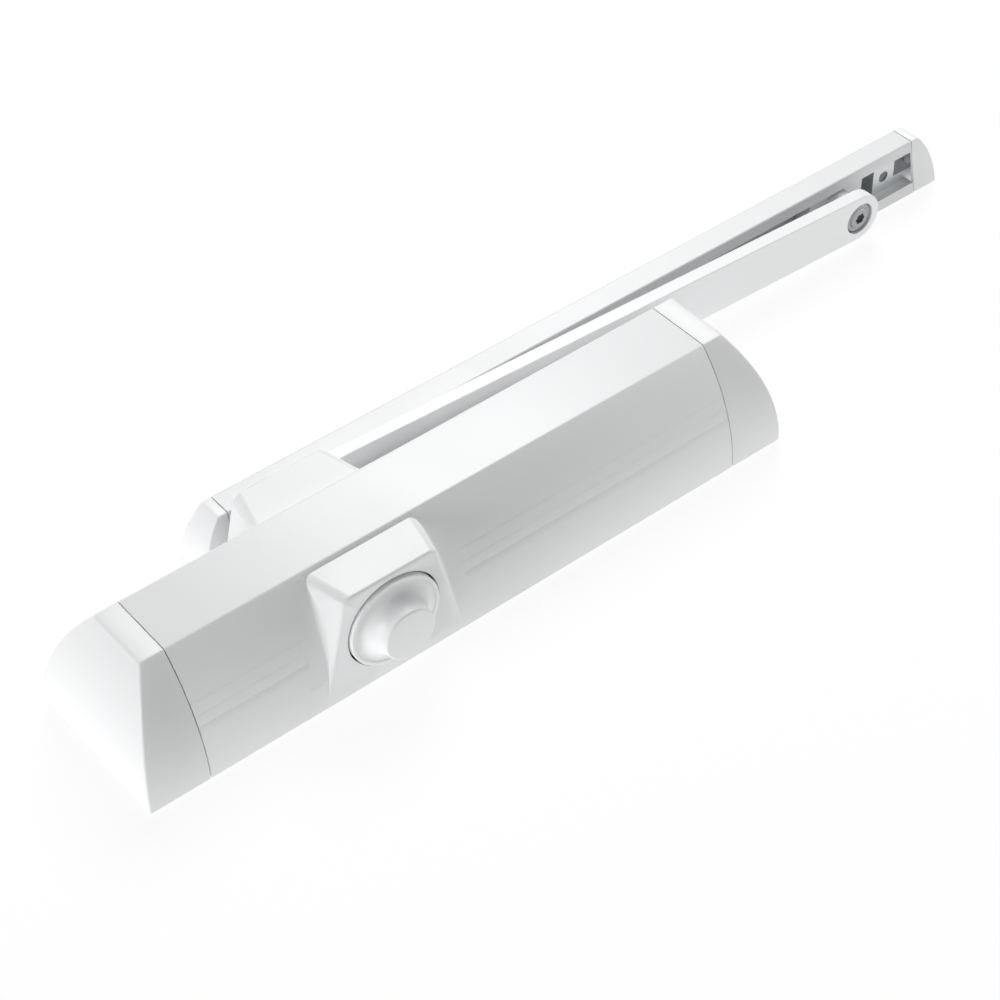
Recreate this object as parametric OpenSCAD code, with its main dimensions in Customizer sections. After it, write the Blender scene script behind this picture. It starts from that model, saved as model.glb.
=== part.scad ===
// Overhead door closer with cam action and a guide rail.
// Seen as installed: +Z up, -Y out of the door, +X along the closed arm.
// The origin is the middle of the fixing face that bears on the door.

/* [Cover and end caps] */
// Overall length of the closer at the door
body_length = 281; // [270:1:320]
// Overall height of the closer
body_height = 65; // [63:0.5:72]
// Overall depth from the door to the front face
body_depth = 47; // [46.5:0.5:56]
// Length of the extruded cover between the two seams
cover_length = 232.5; // [230:0.5:250]
// Wall of the extruded cover
cover_wall = 1.8; // [1.2:0.1:2]
// Height of the narrow front face between the curved flanks
front_height = 27.3; // [24:0.1:30]
// Depth of the hook along the back edges of the cover
hook_depth = 1.4; // [1:0.1:1.5]
// Reach of that hook behind the body foot
hook_reach = 1.6; // [0.8:0.1:2.4]
// Wall of the moulded end caps
cap_wall = 2.4; // [2.2:0.1:3]
// Radius of the end caps' bowed ends, seen from above
cap_radius = 82; // [70:1:120]
// Depth of the end caps' skirt inside the cover
skirt_depth = 4; // [2:0.5:4]

/* [Spindle cowls] */
// Half width of a cowl's flat face at the front
cowl_front_half = 19; // [18:0.5:22]
// Half width of a cowl's flat face at the door
cowl_back_half = 30; // [28:0.5:34]
// How much wider a cowl is at its root than at its face, each side
cowl_flare = 5; // [3:0.5:8]
// Step from the front face of the cover back to a cowl
cowl_step = 1.4; // [1:0.1:1.6]
// Wall of the cowls
cowl_wall = 2; // [1.4:0.1:2.2]
// Height of a cowl's slanted sides
cowl_height = 20; // [18:0.5:22]

/* [Spindle cap] */
// Distance from the round cap to the front edge of its cowl
button_margin = 2.8; // [2.6:0.1:3.6]
// Gap around the round cap in its cowl
button_gap = 0.4; // [0.2:0.1:0.5]
// How far its rim stands proud of the cowl
button_proud = 1.2; // [0:0.1:2]
// Width of the flat rim
button_rim = 2; // [1:0.1:3]
// Height of the knob above the rim
button_rise = 8.3; // [2:0.1:10]
// Radius of the knob's flat top
button_top_radius = 9.6; // [7:0.1:12]

/* [Housing] */
// Length of the cast housing
housing_length = 224; // [222:1:228]
// Half the depth that is left beside the cylinder bore
bore_margin = 6; // [5.7:0.1:6.5]
// Wall around the cylinder bore
barrel_wall = 3.1; // [2.6:0.1:3.2]
// Half height of the block between bore and foot
web_half = 19.5; // [18.5:0.5:20.5]
// Thickness of the foot at the door
foot_thickness = 6; // [5:0.5:7]
// Distance between the fixing holes along the door
fixing_span_x = 192; // [160:1:200]
// Distance from a long edge of the closer to its fixing holes
fixing_inset = 7.5; // [6.5:0.25:8]
// Radius of the fixing holes
fixing_hole_radius = 2.75; // [2.2:0.05:3.2]
// Radius of the two spindle towers
tower_radius = 14; // [13.5:0.5:14.5]
// Distance from a cowl's face down to the end of its tower
tower_inset = 5; // [4.5:0.5:5.5]
// Length of the end plugs
plug_length = 12; // [8:0.5:12]

/* [Spindle and cam] */
// Distance of the spindle from the middle of the closer
spindle_offset = 39.5; // [37:0.5:42]
// How much nearer to the front than to the door the spindle is
spindle_forward = 0.5; // [0:0.1:0.9]
// Radius of the spindle
spindle_radius = 7.4; // [6.5:0.1:7.4]
// Side of the square arm seat on the spindle
square_side = 10; // [8:0.5:10]
// Outer radius of the spindle bearings
bearing_radius = 11; // [10.5:0.5:11.5]
// Wall between a spindle bearing and the cylinder bore
bearing_wall = 1; // [0.5:0.1:2]
// Radius of the bearing glands' flange
gland_flange_radius = 13; // [12.5:0.5:13.5]
// Thickness of that flange
gland_flange = 1.5; // [1:0.1:1.5]
// Thickness of the cam
cam_thickness = 12; // [8:0.5:12]
// Least distance from the spindle axis to a roller axis
cam_base = 13.5; // [13.5:0.1:14]
// Piston travel for each degree of spindle turn
cam_lead = 0.05; // [0.03:0.005:0.055]
// Radius of the cam rollers
roller_radius = 6; // [5:0.1:6]
// Radius of the roller pins
roller_pin_radius = 2.5; // [2:0.1:3]

/* [Pistons, springs and valves] */
// Length of the closing piston
closing_piston_length = 34; // [30:1:38]
// Length of the damping piston
damping_piston_length = 26; // [24:1:28]
// Wire radius of the closing spring
spring_wire = 2.5; // [1.8:0.1:2.6]
// Turns of the closing spring
spring_turns = 10; // [6:1:11]
// Wire radius of the damping spring
damping_wire = 1; // [0.7:0.1:1.2]
// Turns of the damping spring
damping_turns = 4; // [3:1:5]
// Thickness of the spring plate
plate_thickness = 5; // [4:0.5:6]
// Radius of the adjusting screw
adjuster_radius = 4.8; // [4:0.1:5]
// Reach of the adjusting screw into the spring
adjuster_reach = 10; // [9:0.5:12]
// Radius of the valve screws
valve_radius = 2.5; // [2:0.1:2.8]
// Length of the valve screws
valve_length = 14; // [10:0.5:16]

/* [Arm and slide block] */
// Length of the arm from the spindle to the block pivot
arm_length = 287; // [260:1:300]
// Thickness of the arm
arm_thickness = 6; // [5:0.5:6.5]
// Half width of the arm at the spindle
arm_hub_half = 12; // [11.5:0.5:13]
// Half width of the arm at the block pivot
arm_tip_half = 10.6; // [9.5:0.1:11.5]
// Gap between the closer and the underside of the arm
arm_gap = 1; // [0.6:0.1:1.4]
// Radius of the hub disc under the arm
hub_radius = 16.5; // [15:0.5:17.5]
// Radius of the pivot screw's head
pivot_head_radius = 6.4; // [5:0.1:6.6]
// Radius of the pivot bush
pivot_bush_radius = 4.5; // [4:0.1:5]
// Length of the slide block
block_length = 30; // [24:1:34]

/* [Guide rail] */
// Length of the rail between its two seams
rail_length = 342; // [330:1:380]
// Depth of the rail from its fixing face
rail_depth = 23.4; // [23:0.1:26]
// Height of the rail at its fixing face
rail_back_height = 19.4; // [18.5:0.1:20]
// Height of the rail's front face
rail_front_height = 10.6; // [10:0.1:12]
// Height of the rail's axis above the arm
rail_rise = 12.5; // [12.5:0.1:14.5]
// Width of the slot along the underside
slot_width = 14; // [13.5:0.1:15]
// Width of the channel behind the slot
channel_width = 17.5; // [16.5:0.1:18]
// Height of the channel
channel_height = 8.5; // [7:0.1:8.6]
// Distance from the block pivot to the rail's near seam
rail_parked = 41.5; // [40:0.5:50]
// Length of the rail caps at their back
rail_cap_length = 13.3; // [12:0.1:15]
// Radius of the rail caps' bowed ends, seen from above
rail_cap_radius = 35; // [33:1:60]
// Wall of the rail caps
rail_cap_wall = 1.3; // [1:0.1:1.6]
// Distance from a rail seam to the screw hole outside it
rail_hole_out = 4.9; // [4.8:0.1:5.4]
// Radius of the rail's fixing holes
rail_hole_radius = 2.2; // [1.8:0.1:2.4]
// Length of a fixing block inside the channel
fixing_block_length = 12; // [10:0.5:14]
// Distance from a rail seam to its fixing block
fixing_block_in = 8; // [7:0.5:9]

/* [Clearances] */
// Seam between fitted covers
seam = 0.12; // [0.08:0.01:0.2]
// Running clearance of pistons, spindle and pins, on the radius
running = 0.05; // [0.02:0.01:0.1]
// Play between the cam and its rollers
cam_play = 0.25; // [0.1:0.05:0.3]
// Play of the slide block in the channel, each side
slide_play = 0.15; // [0.1:0.01:0.2]
// Axial gap between turning faces
face_gap = 0.3; // [0.2:0.05:0.4]

/* [Hidden] */
$fn = 96;

white = "whitesmoke";
steel = "lightsteelblue";
cast = "darkgray";
bright = "silver";
plastic = "dimgray";

eps = 0.01;
// How far a cut runs past the face that it opens.
over = 1;
half_height = body_height / 2;
half_cover = cover_length / 2;
half_housing = housing_length / 2;
flank_drop = (body_height - front_height) / 2;
flank_radius = (pow(flank_drop, 2) + pow(body_depth, 2)) / (2 * flank_drop);
skirt_wall = 1.6;
cowl_span = 2 * cowl_back_half;
spindle_x = -spindle_offset;
spindle_y = body_depth / 2 + spindle_forward;
bore_radius = body_depth / 2 - bore_margin;
hook_gap = 0.2;
foot_step = hook_depth + hook_gap;
// Half height of the foot: the inside of the cover's flank at the foot's front face, less a gap.
flank_inside = sqrt(pow(flank_radius - cover_wall, 2) - pow(foot_thickness, 2));
foot_half = half_height - flank_radius + flank_inside - hook_gap;
pad_half = foot_half - hook_reach - hook_gap;
plug_face = half_housing - plug_length;
fixing_span_z = body_height - 2 * fixing_inset;

// The round cap. Its skirt sweeps from the rim up to the knob as a quarter of an ellipse.
button_radius = body_depth - cowl_step - spindle_y - button_margin;
cowl_hole_radius = button_radius + button_gap;
button_face = half_height + button_proud;
button_top = button_face + button_rise;
button_edge = 0.5;
button_top_edge = 0.8;
button_base = 4;
button_back = button_face - button_base;
button_wall = 1.8;
button_steps = 10;
button_recess = 0.6;

// Seals and sockets of the end plugs and the valves.
plug_seal_set = 3;
plug_seal_width = 3;
plug_seal_depth = 2;
plug_key = 5;
plug_key_depth = 5;
valve_y = -7.5;
valve_z = 14;
valve_slot = 0.8;
valve_slot_depth = 1.4;

// Cam geometry: the roller axes follow a steady spiral on both halves, so their spread never changes.
cam_rise = 180 * cam_lead;
far_roller = cam_base + cam_rise;
closing_axis_x = spindle_x + cam_base;
damping_axis_x = spindle_x - far_roller;
piston_radius = bore_radius - running;
roller_inset = 0.5;
roller_half = cam_thickness / 2 - roller_inset;
roller_room = 1.5;
fork_gap = 0.2;
fork_half = cam_thickness / 2 + fork_gap;
fork_lead = 4;
pin_inset = 2.5;
closing_front = closing_axis_x - fork_lead;
closing_back = closing_front + closing_piston_length;
damping_front = damping_axis_x + fork_lead;
damping_back = damping_front - damping_piston_length;

// Springs, and the adjuster chain from the right end plug inwards.
spring_gap = 1;
damping_spring_gap = 6;
collar_length = 3;
collar_reach = 3;
collar_radius = adjuster_radius + collar_reach;
plate_gap = 3;
plate_face = plug_face - collar_length - plate_gap - plate_thickness;
adjuster_key = 2.9;
adjuster_key_depth = 6;

// Heights of the spindle stack, the same above and below the middle.
tower_height = half_height - tower_inset;
// The bearing and the gland share the room between the bore and the tower's end.
bearing_share = 0.55;
stack_height = tower_height - bore_radius - bearing_wall;
bearing_height = bearing_share * stack_height;
gland_top = tower_height + gland_flange;
gland_clearance = 0.2;
gland_bore = spindle_radius + gland_clearance;
gland_ring = 2;
bearing_top = bore_radius + bearing_wall + bearing_height;
seal_height = (tower_height - bearing_top) / 2;
seal_wall = 1.6;

// Arm stack.
arm_z = half_height + arm_gap;
arm_top = arm_z + arm_thickness;
hub_z = gland_top + face_gap;
hub_lap = 1;
square_sink = 1;
square_gap = 0.2;
spindle_gap = 0.5;
arm_screw_radius = 2.5;
arm_screw_head_radius = 6;
arm_screw_head = 3.4;
arm_screw_sink = 2;
arm_screw_length = 10;
arm_screw_key = 2;
arm_screw_room = 1.5;
key_share = 0.6;
pivot_head = 2.4;
pivot_head_gap = 0.5;
pivot_shank = 3;
pivot_thread = 4;
pivot_lobe = 2.1;
pivot_key_depth = 1.8;
closed_angle = asin((spindle_y - rail_depth / 2) / arm_length);
pivot_x = spindle_x + arm_length * cos(closed_angle);
pivot_y = -rail_depth / 2;

// Guide rail, drawn where it lies with the door closed.
rail_z = arm_top + rail_rise;
rail_right = pivot_x + rail_parked;
rail_left = rail_right - rail_length;
rail_back_half = rail_back_height / 2;
rail_front_half = rail_front_height / 2;
channel_drop = 4.4;
channel_z = rail_z - channel_drop;
neck_gap = 0.4;
rail_tongue = 3;
rail_tongue_wall = 2;
rail_tongue_inset = 1.5;
block_tongue = 6;
block_tongue_reach = 9.5;
set_screw_radius = 2.5;
set_screw_lift = 2;
set_screw_key = 1.45;
set_screw_key_depth = 2.5;

function cam_reach(a) = cam_base + cam_lead * (a > 180 ? 360 - a : a);
function cam_slope(a) = (a > 180 ? -1 : 1) * cam_lead * 180 / PI;
// A point of the cam's edge: the roller axis moved inwards along the spiral's normal.
function cam_point(a) =
    let (reach = cam_reach(a), slope = cam_slope(a), size = norm([reach, slope]))
    let (offset = roller_radius + cam_play, out = reach - offset * reach / size, side = offset * slope / size)
    [out * cos(a) - side * sin(a), out * sin(a) + side * cos(a)];

// A plane shape in Y and Z, drawn out along X.
module along_x(from, length) {
    translate([from, 0, 0])
        rotate([90, 0, 90])
            linear_extrude(length)
                children();
}

// A round bar along X on the cylinder axis.
module bar_x(from, length, radius) {
    translate([from, -spindle_y, 0])
        rotate([0, 90, 0])
            cylinder(r = radius, h = length);
}

// The closer's section, moved inwards by a wall and run on behind the door face.
module loaf(wall, behind) {
    intersection() {
        translate([-body_depth + wall, -half_height])
            square([body_depth - wall + behind, body_height]);
        translate([0, half_height - flank_radius])
            circle(r = flank_radius - wall, $fn = 192);
        translate([0, flank_radius - half_height])
            circle(r = flank_radius - wall, $fn = 192);
    }
}

module loaf_bar(from, length, wall, behind = 0) {
    along_x(from, length)
        loaf(wall, behind);
}

// A solid block with the outer faces of a cowl, moved outwards by grow.
module cowl_block(grow) {
    root = cowl_flare + grow;
    front = body_depth - cowl_step + grow;
    base = half_height - cowl_height;
    top = half_height + grow;
    hull() {
        for (side = [-1, 1]) {
            translate([spindle_x + side * (cowl_front_half + grow), -front, top - eps])
                cube(eps);
            translate([spindle_x + side * (cowl_back_half + grow), -eps, top - eps])
                cube(eps);
            translate([spindle_x + side * (cowl_front_half + root), -front, base])
                cube(eps);
            translate([spindle_x + side * (cowl_back_half + root), -eps, base])
                cube(eps);
        }
    }
}

module cowl() {
    difference() {
        cowl_block(0);
        cowl_block(-cowl_wall);
        loaf_bar(spindle_x - cowl_span, 2 * cowl_span, cover_wall, over);
        translate([spindle_x, -spindle_y, 0])
            cylinder(r = cowl_hole_radius, h = body_height);
    }
}

module upper_cowl() {
    color(white)
        cowl();
}

module lower_cowl() {
    color(white)
        mirror([0, 0, 1])
            cowl();
}

module cover() {
    color(white)
        difference() {
            union() {
                difference() {
                    loaf_bar(-half_cover, cover_length, 0);
                    loaf_bar(-half_cover - over, cover_length + 2 * over, cover_wall, over);
                }
                for (side = [-1, 1])
                    translate([-half_cover, -hook_depth, side > 0 ? foot_half - hook_reach : -foot_half - over])
                        cube([cover_length, hook_depth, hook_reach + over]);
            }
            for (flip = [0, 1])
                mirror([0, 0, flip])
                    cowl_block(seam);
        }
}

module end_cap() {
    difference() {
        union() {
            intersection() {
                loaf_bar(half_cover + seam, body_length, 0);
                translate([body_length / 2 - cap_radius, 0, -body_height])
                    cylinder(r = cap_radius, h = 2 * body_height, $fn = 192);
            }
            loaf_bar(half_cover - skirt_depth, skirt_depth + 2 * over, cover_wall + seam);
        }
        intersection() {
            loaf_bar(half_cover, body_length, cap_wall, over);
            translate([body_length / 2 - cap_radius, 0, -body_height])
                cylinder(r = cap_radius - cap_wall, h = 2 * body_height, $fn = 192);
        }
        loaf_bar(half_cover - skirt_depth - over, skirt_depth + 4 * over, cover_wall + skirt_wall, over);
        translate([half_cover - skirt_depth - over, -foot_thickness - over, -body_height])
            cube([skirt_depth + over + seam, body_depth, 2 * body_height]);
    }
}

module right_end_cap() {
    color(white)
        end_cap();
}

module left_end_cap() {
    color(white)
        mirror([1, 0, 0])
            end_cap();
}

// The outline of the skirt, from the rim up to the side of the knob.
function button_skirt() =
    let (
        foot = button_radius - button_rim,
        side = button_top_radius + button_top_edge,
        reach = button_rise - button_top_edge
    )
    [
        for (i = [0 : button_steps])
            let (turn = 90 - 90 * i / button_steps)
            [foot - (foot - side) * cos(turn), button_face + reach * (1 - sin(turn))]
    ];

// The round cap over the free spindle end: a rim, a swept skirt and a knob, turned as one hollow piece.
module spindle_cap() {
    color(white)
        translate([spindle_x, -spindle_y, 0])
            mirror([0, 0, 1])
                difference() {
                    rotate_extrude()
                        polygon(concat(
                            [
                                [0, button_back],
                                [button_radius, button_back],
                                [button_radius, button_face - button_edge],
                                [button_radius - button_edge, button_face],
                            ],
                            button_skirt(),
                            [
                                [button_top_radius, button_top],
                                [0, button_top],
                            ]
                        ));
                    translate([0, 0, button_back - eps])
                        cylinder(r = spindle_radius + gland_ring, h = button_recess);
                    translate([0, 0, button_back - eps])
                        cylinder(
                            r = button_top_radius + button_top_edge - button_wall,
                            h = button_top - button_wall - button_back + eps
                        );
                }
}

// A gland that closes a tower; clip is the height of the ring on its flange.
module gland(clip) {
    translate([spindle_x, -spindle_y, 0])
        difference() {
            union() {
                translate([0, 0, bearing_top + eps])
                    cylinder(r = bearing_radius, h = tower_height - bearing_top);
                translate([0, 0, tower_height])
                    cylinder(r = gland_flange_radius, h = gland_flange + clip);
            }
            translate([0, 0, bearing_top])
                cylinder(r = gland_bore, h = body_height);
            translate([0, 0, bearing_top])
                cylinder(r = gland_bore + seal_wall, h = seal_height + eps);
            translate([0, 0, gland_top])
                cylinder(r = gland_flange_radius - gland_ring, h = body_height);
        }
}

module upper_gland() {
    color(steel)
        gland(0);
}

// The lower gland's ring reaches down to the round cap and carries it.
module lower_gland() {
    color(steel)
        mirror([0, 0, 1])
            gland(button_back - gland_top);
}

module spindle_bearings() {
    color(bright)
        for (flip = [0, 1])
            mirror([0, 0, flip])
                translate([spindle_x, -spindle_y, bearing_top - bearing_height])
                    difference() {
                        cylinder(r = bearing_radius, h = bearing_height);
                        translate([0, 0, -over])
                            cylinder(r = spindle_radius + running, h = bearing_height + 2 * over);
                    }
}

module spindle_seals() {
    color("black")
        for (flip = [0, 1])
            mirror([0, 0, flip])
                translate([spindle_x, -spindle_y, bearing_top + eps])
                    difference() {
                        cylinder(r = gland_bore + seal_wall, h = seal_height);
                        translate([0, 0, -over])
                            cylinder(r = spindle_radius + running, h = seal_height + 2 * over);
                    }
}

// The cast housing with its cylinder bore, towers, foot and valve bores.
module housing() {
    color(cast)
        difference() {
            union() {
                bar_x(-half_housing, housing_length, bore_radius + barrel_wall);
                translate([-half_housing, -spindle_y, -web_half])
                    cube([housing_length, spindle_y, 2 * web_half]);
                translate([-half_housing, -foot_thickness, -pad_half])
                    cube([housing_length, foot_thickness, 2 * pad_half]);
                translate([-half_housing, -foot_thickness, -foot_half])
                    cube([housing_length, foot_thickness - foot_step, 2 * foot_half]);
                translate([spindle_x, -spindle_y, -tower_height])
                    cylinder(r = tower_radius, h = 2 * tower_height);
            }
            bar_x(-half_housing - over, housing_length + 2 * over, bore_radius);
            translate([spindle_x, -spindle_y, -body_height])
                cylinder(r = bearing_radius, h = 2 * body_height);
            for (flip = [0, 1])
                mirror([0, 0, flip])
                    translate([spindle_x, -spindle_y, gland_top])
                        cylinder(r = cowl_hole_radius, h = body_height);
            for (x = [-1, 1])
                for (z = [-1, 1])
                    translate([x * fixing_span_x / 2, -foot_thickness - over, z * fixing_span_z / 2])
                        rotate([-90, 0, 0])
                            cylinder(r = fixing_hole_radius, h = foot_thickness + 2 * over);
            for (side = [[1, -1], [1, 1], [-1, -1]])
                valve_place(side[0], side[1])
                    cylinder(r = valve_radius + running, h = valve_length + over);
        }
}

// Puts a valve at an end face, pointing out of it along X.
module valve_place(end, level) {
    translate([end * (half_housing - valve_length), valve_y, level * valve_z])
        rotate([0, end * 90, 0])
            children();
}

module valve(end, level) {
    valve_place(end, level)
        difference() {
            cylinder(r = valve_radius, h = valve_length);
            translate([-valve_slot / 2, -valve_radius - over, valve_length - valve_slot_depth])
                cube([valve_slot, 2 * (valve_radius + over), valve_slot_depth + over]);
        }
}

module closing_valve() {
    color("goldenrod")
        valve(1, -1);
}

module latching_valve() {
    color("goldenrod")
        valve(1, 1);
}

module backcheck_valve() {
    color("goldenrod")
        valve(-1, -1);
}

// The ring that a plug's seal fills, out to a radius.
module plug_ring(radius) {
    difference() {
        bar_x(plug_face + plug_seal_set, plug_seal_width, radius);
        bar_x(plug_face, plug_length, bore_radius - plug_seal_depth);
    }
}

// An end plug with a groove for its seal.
module end_plug(hole) {
    difference() {
        bar_x(plug_face, plug_length, bore_radius);
        plug_ring(bore_radius + over);
        bar_x(plug_face - over, plug_length + 2 * over, hole);
    }
}

module right_end_plug() {
    color(steel)
        end_plug(adjuster_radius + running);
}

module left_end_plug() {
    color(steel)
        difference() {
            mirror([1, 0, 0])
                end_plug(eps);
            translate([-half_housing - over, -spindle_y, 0])
                rotate([0, 90, 0])
                    cylinder(r = plug_key, h = plug_key_depth + over, $fn = 6);
        }
}

module plug_seals() {
    color("black")
        for (flip = [0, 1])
            mirror([flip, 0, 0])
                plug_ring(bore_radius);
}

// The spindle, with the cam seat in the middle and the square for the arm on top.
module spindle() {
    lower_end = gland_top - spindle_gap;
    seat = arm_top - arm_screw_sink - square_gap - gland_top + square_sink;
    color(bright)
        translate([spindle_x, -spindle_y, 0])
            difference() {
                union() {
                    translate([0, 0, -lower_end])
                        cylinder(r = spindle_radius, h = lower_end + gland_top - eps);
                    rotate([0, 0, closed_angle])
                        translate([-square_side / 2, -square_side / 2, gland_top - square_sink])
                            cube([square_side, square_side, seat]);
                }
                translate([0, 0, gland_top])
                    cylinder(r = arm_screw_radius, h = arm_top);
            }
}

module cam() {
    color(steel)
        translate([spindle_x, -spindle_y, -cam_thickness / 2])
            difference() {
                linear_extrude(cam_thickness)
                    polygon([for (a = [0 : 5 : 355]) cam_point(a)]);
                translate([0, 0, -over])
                    cylinder(r = spindle_radius, h = cam_thickness + 2 * over);
            }
}

// Points along an arc about a point on the X axis.
function arc(middle, radius, from, to, steps) =
    [for (i = [0 : steps]) let (a = from + (to - from) * i / steps) [middle + radius * cos(a), radius * sin(a)]];

// The flat arm: two round ends joined along their common tangents, with the hub below.
module arm() {
    lean = acos((arm_hub_half - arm_tip_half) / arm_length);
    color(white)
        translate([spindle_x, -spindle_y, 0])
            rotate([0, 0, closed_angle])
                difference() {
                    union() {
                        translate([0, 0, arm_z])
                            linear_extrude(arm_thickness)
                                polygon(concat(
                                    arc(0, arm_hub_half, lean, 360 - lean, 40),
                                    arc(arm_length, arm_tip_half, -lean, lean, 40)
                                ));
                        translate([0, 0, hub_z])
                            cylinder(r = hub_radius, h = arm_z - hub_z + hub_lap);
                    }
                    translate([-square_side / 2, -square_side / 2, 0])
                        cube([square_side, square_side, body_height]);
                    translate([0, 0, arm_top - arm_screw_sink])
                        cylinder(r = arm_screw_head_radius + arm_screw_room, h = arm_thickness);
                    translate([arm_length, 0, 0])
                        cylinder(r = pivot_bush_radius + running, h = body_height);
                    translate([arm_length, 0, 0])
                        cylinder(r = pivot_head_radius + pivot_head_gap, h = arm_z + pivot_head + face_gap);
                }
}

// A screw with a plain shank and a hexagon socket, head at the bottom.
module socket_screw(head_radius, head_height, shank_radius, length, socket_radius) {
    difference() {
        union() {
            cylinder(r = head_radius, h = head_height);
            cylinder(r = shank_radius, h = length);
        }
        translate([0, 0, -over])
            cylinder(r = socket_radius, h = over + head_height * key_share, $fn = 6);
    }
}

module arm_screw() {
    color(bright)
        translate([spindle_x, -spindle_y, arm_top - arm_screw_sink + arm_screw_head])
            rotate([180, 0, 0])
                socket_screw(
                    arm_screw_head_radius, arm_screw_head, arm_screw_radius, arm_screw_length, arm_screw_key
                );
}

// A fork piston; sense is +1 when its fork opens towards -X.
module piston(front, length, axis_x, sense) {
    body = sense > 0 ? front : front - length;
    slot_depth = fork_lead + roller_radius + roller_room;
    slot = sense > 0 ? front - over : front - slot_depth;
    difference() {
        bar_x(body, length, piston_radius);
        translate([slot, -spindle_y - bore_radius - over, -fork_half])
            cube([slot_depth + over, 2 * (bore_radius + over), 2 * fork_half]);
        translate([axis_x, -spindle_y, -body_height])
            cylinder(r = roller_pin_radius, h = 2 * body_height);
    }
}

module roller(axis_x) {
    translate([axis_x, -spindle_y, -roller_half])
        difference() {
            cylinder(r = roller_radius, h = 2 * roller_half);
            translate([0, 0, -over])
                cylinder(r = roller_pin_radius + running, h = 2 * (roller_half + over));
        }
}

module roller_pin(axis_x) {
    translate([axis_x, -spindle_y, pin_inset - bore_radius])
        cylinder(r = roller_pin_radius, h = 2 * (bore_radius - pin_inset));
}

module closing_piston() {
    color(cast)
        piston(closing_front, closing_piston_length, closing_axis_x, 1);
}

module closing_roller() {
    color(steel)
        roller(closing_axis_x);
}

module closing_roller_pin() {
    color(bright)
        roller_pin(closing_axis_x);
}

module damping_piston() {
    color(cast)
        piston(damping_front, damping_piston_length, damping_axis_x, -1);
}

module damping_roller() {
    color(steel)
        roller(damping_axis_x);
}

module damping_roller_pin() {
    color(bright)
        roller_pin(damping_axis_x);
}

// A compression spring along X between two faces, as one tube of six sides.
module coil(from, to, coil_radius, wire, turns) {
    pitch = (to - from - 2 * wire) / turns;
    rings = 8 * turns;
    points = [for (i = [0 : rings], j = [0 : 5])
        let (a = 45 * i, b = 60 * j + 30, r = coil_radius + wire * cos(b))
        [from + wire + pitch * i / 8 + wire * sin(b), r * cos(a) - spindle_y, r * sin(a)]];
    sides = [for (i = [0 : rings - 1], j = [0 : 5])
        let (k = 6 * i + j, n = 6 * i + (j + 1) % 6)
        each [[k, n, k + 6], [n, n + 6, k + 6]]];
    first = [for (j = [1 : 4]) [0, j + 1, j]];
    last = [for (j = [1 : 4]) [6 * rings, 6 * rings + j, 6 * rings + j + 1]];
    echo(gap_between_turns = pitch - 2 * wire);
    polyhedron(points = points, faces = concat(sides, first, last));
}

module closing_spring() {
    color(steel)
        coil(closing_back, plate_face, bore_radius - spring_wire - spring_gap, spring_wire, spring_turns);
}

module damping_spring() {
    color(steel)
        coil(-plug_face, damping_back, bore_radius - damping_spring_gap, damping_wire, damping_turns);
}

module spring_plate() {
    color(steel)
        difference() {
            bar_x(plate_face, plate_thickness, piston_radius);
            bar_x(plate_face - over, plate_thickness + 2 * over, adjuster_radius + running);
        }
}

module adjusting_screw() {
    color(bright)
        difference() {
            union() {
                bar_x(plate_face - adjuster_reach, half_housing - plate_face + adjuster_reach, adjuster_radius);
                bar_x(plug_face - collar_length - face_gap, collar_length, collar_radius);
            }
            translate([half_housing - adjuster_key_depth, -spindle_y, 0])
                rotate([0, 90, 0])
                    cylinder(r = adjuster_key, h = adjuster_key_depth + over, $fn = 6);
        }
}

// The block that runs in the rail, with the round neck that reaches down to the arm.
module slide_block() {
    width = channel_width - 2 * slide_play;
    height = channel_height - 2 * slide_play;
    neck = arm_top + face_gap;
    color(plastic)
        translate([pivot_x, pivot_y, 0])
            difference() {
                union() {
                    translate([-block_length / 2, -width / 2, channel_z + slide_play])
                        cube([block_length, width, height]);
                    translate([0, 0, neck])
                        cylinder(r = slot_width / 2 - neck_gap, h = channel_z + slide_play + over - neck);
                }
                cylinder(r = pivot_shank, h = channel_z + pivot_thread + 2 * over);
            }
}

module pivot_bush() {
    base = arm_z + pivot_head;
    color(bright)
        translate([pivot_x, pivot_y, base])
            difference() {
                cylinder(r = pivot_bush_radius, h = arm_top + face_gap - base);
                translate([0, 0, -over])
                    cylinder(r = pivot_shank, h = body_height);
            }
}

// The pivot screw under the arm, with a six-lobed socket.
module pivot_screw() {
    color(bright)
        translate([pivot_x, pivot_y, arm_z])
            difference() {
                union() {
                    cylinder(r = pivot_head_radius, h = pivot_head);
                    cylinder(r = pivot_shank, h = channel_z + pivot_thread - arm_z);
                }
                translate([0, 0, -over])
                    cylinder(r = pivot_lobe, h = pivot_key_depth + over);
                for (i = [0 : 5])
                    rotate([0, 0, 60 * i])
                        translate([pivot_lobe, 0, -over])
                            cylinder(r = pivot_lobe / 3, h = pivot_key_depth + over, $fn = 24);
            }
}

// The rail's tapered section, moved inwards by a wall.
module rail_section(wall) {
    polygon([
        [0, -rail_back_half + wall],
        [-rail_depth + wall, -rail_front_half + wall],
        [-rail_depth + wall, rail_front_half - wall],
        [0, rail_back_half - wall],
    ]);
}

// The channel and the slot below it, in the same section plane.
module channel_section() {
    floor_z = channel_z - rail_z;
    translate([pivot_y - channel_width / 2, floor_z])
        square([channel_width, channel_height]);
    translate([pivot_y - slot_width / 2, -rail_back_height])
        square([slot_width, rail_back_height + floor_z + over]);
}

module guide_rail() {
    color(white)
        translate([0, 0, rail_z])
            difference() {
                along_x(rail_left, rail_length)
                    rail_section(0);
                along_x(rail_left - over, rail_length + 2 * over)
                    channel_section();
            }
}

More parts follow.
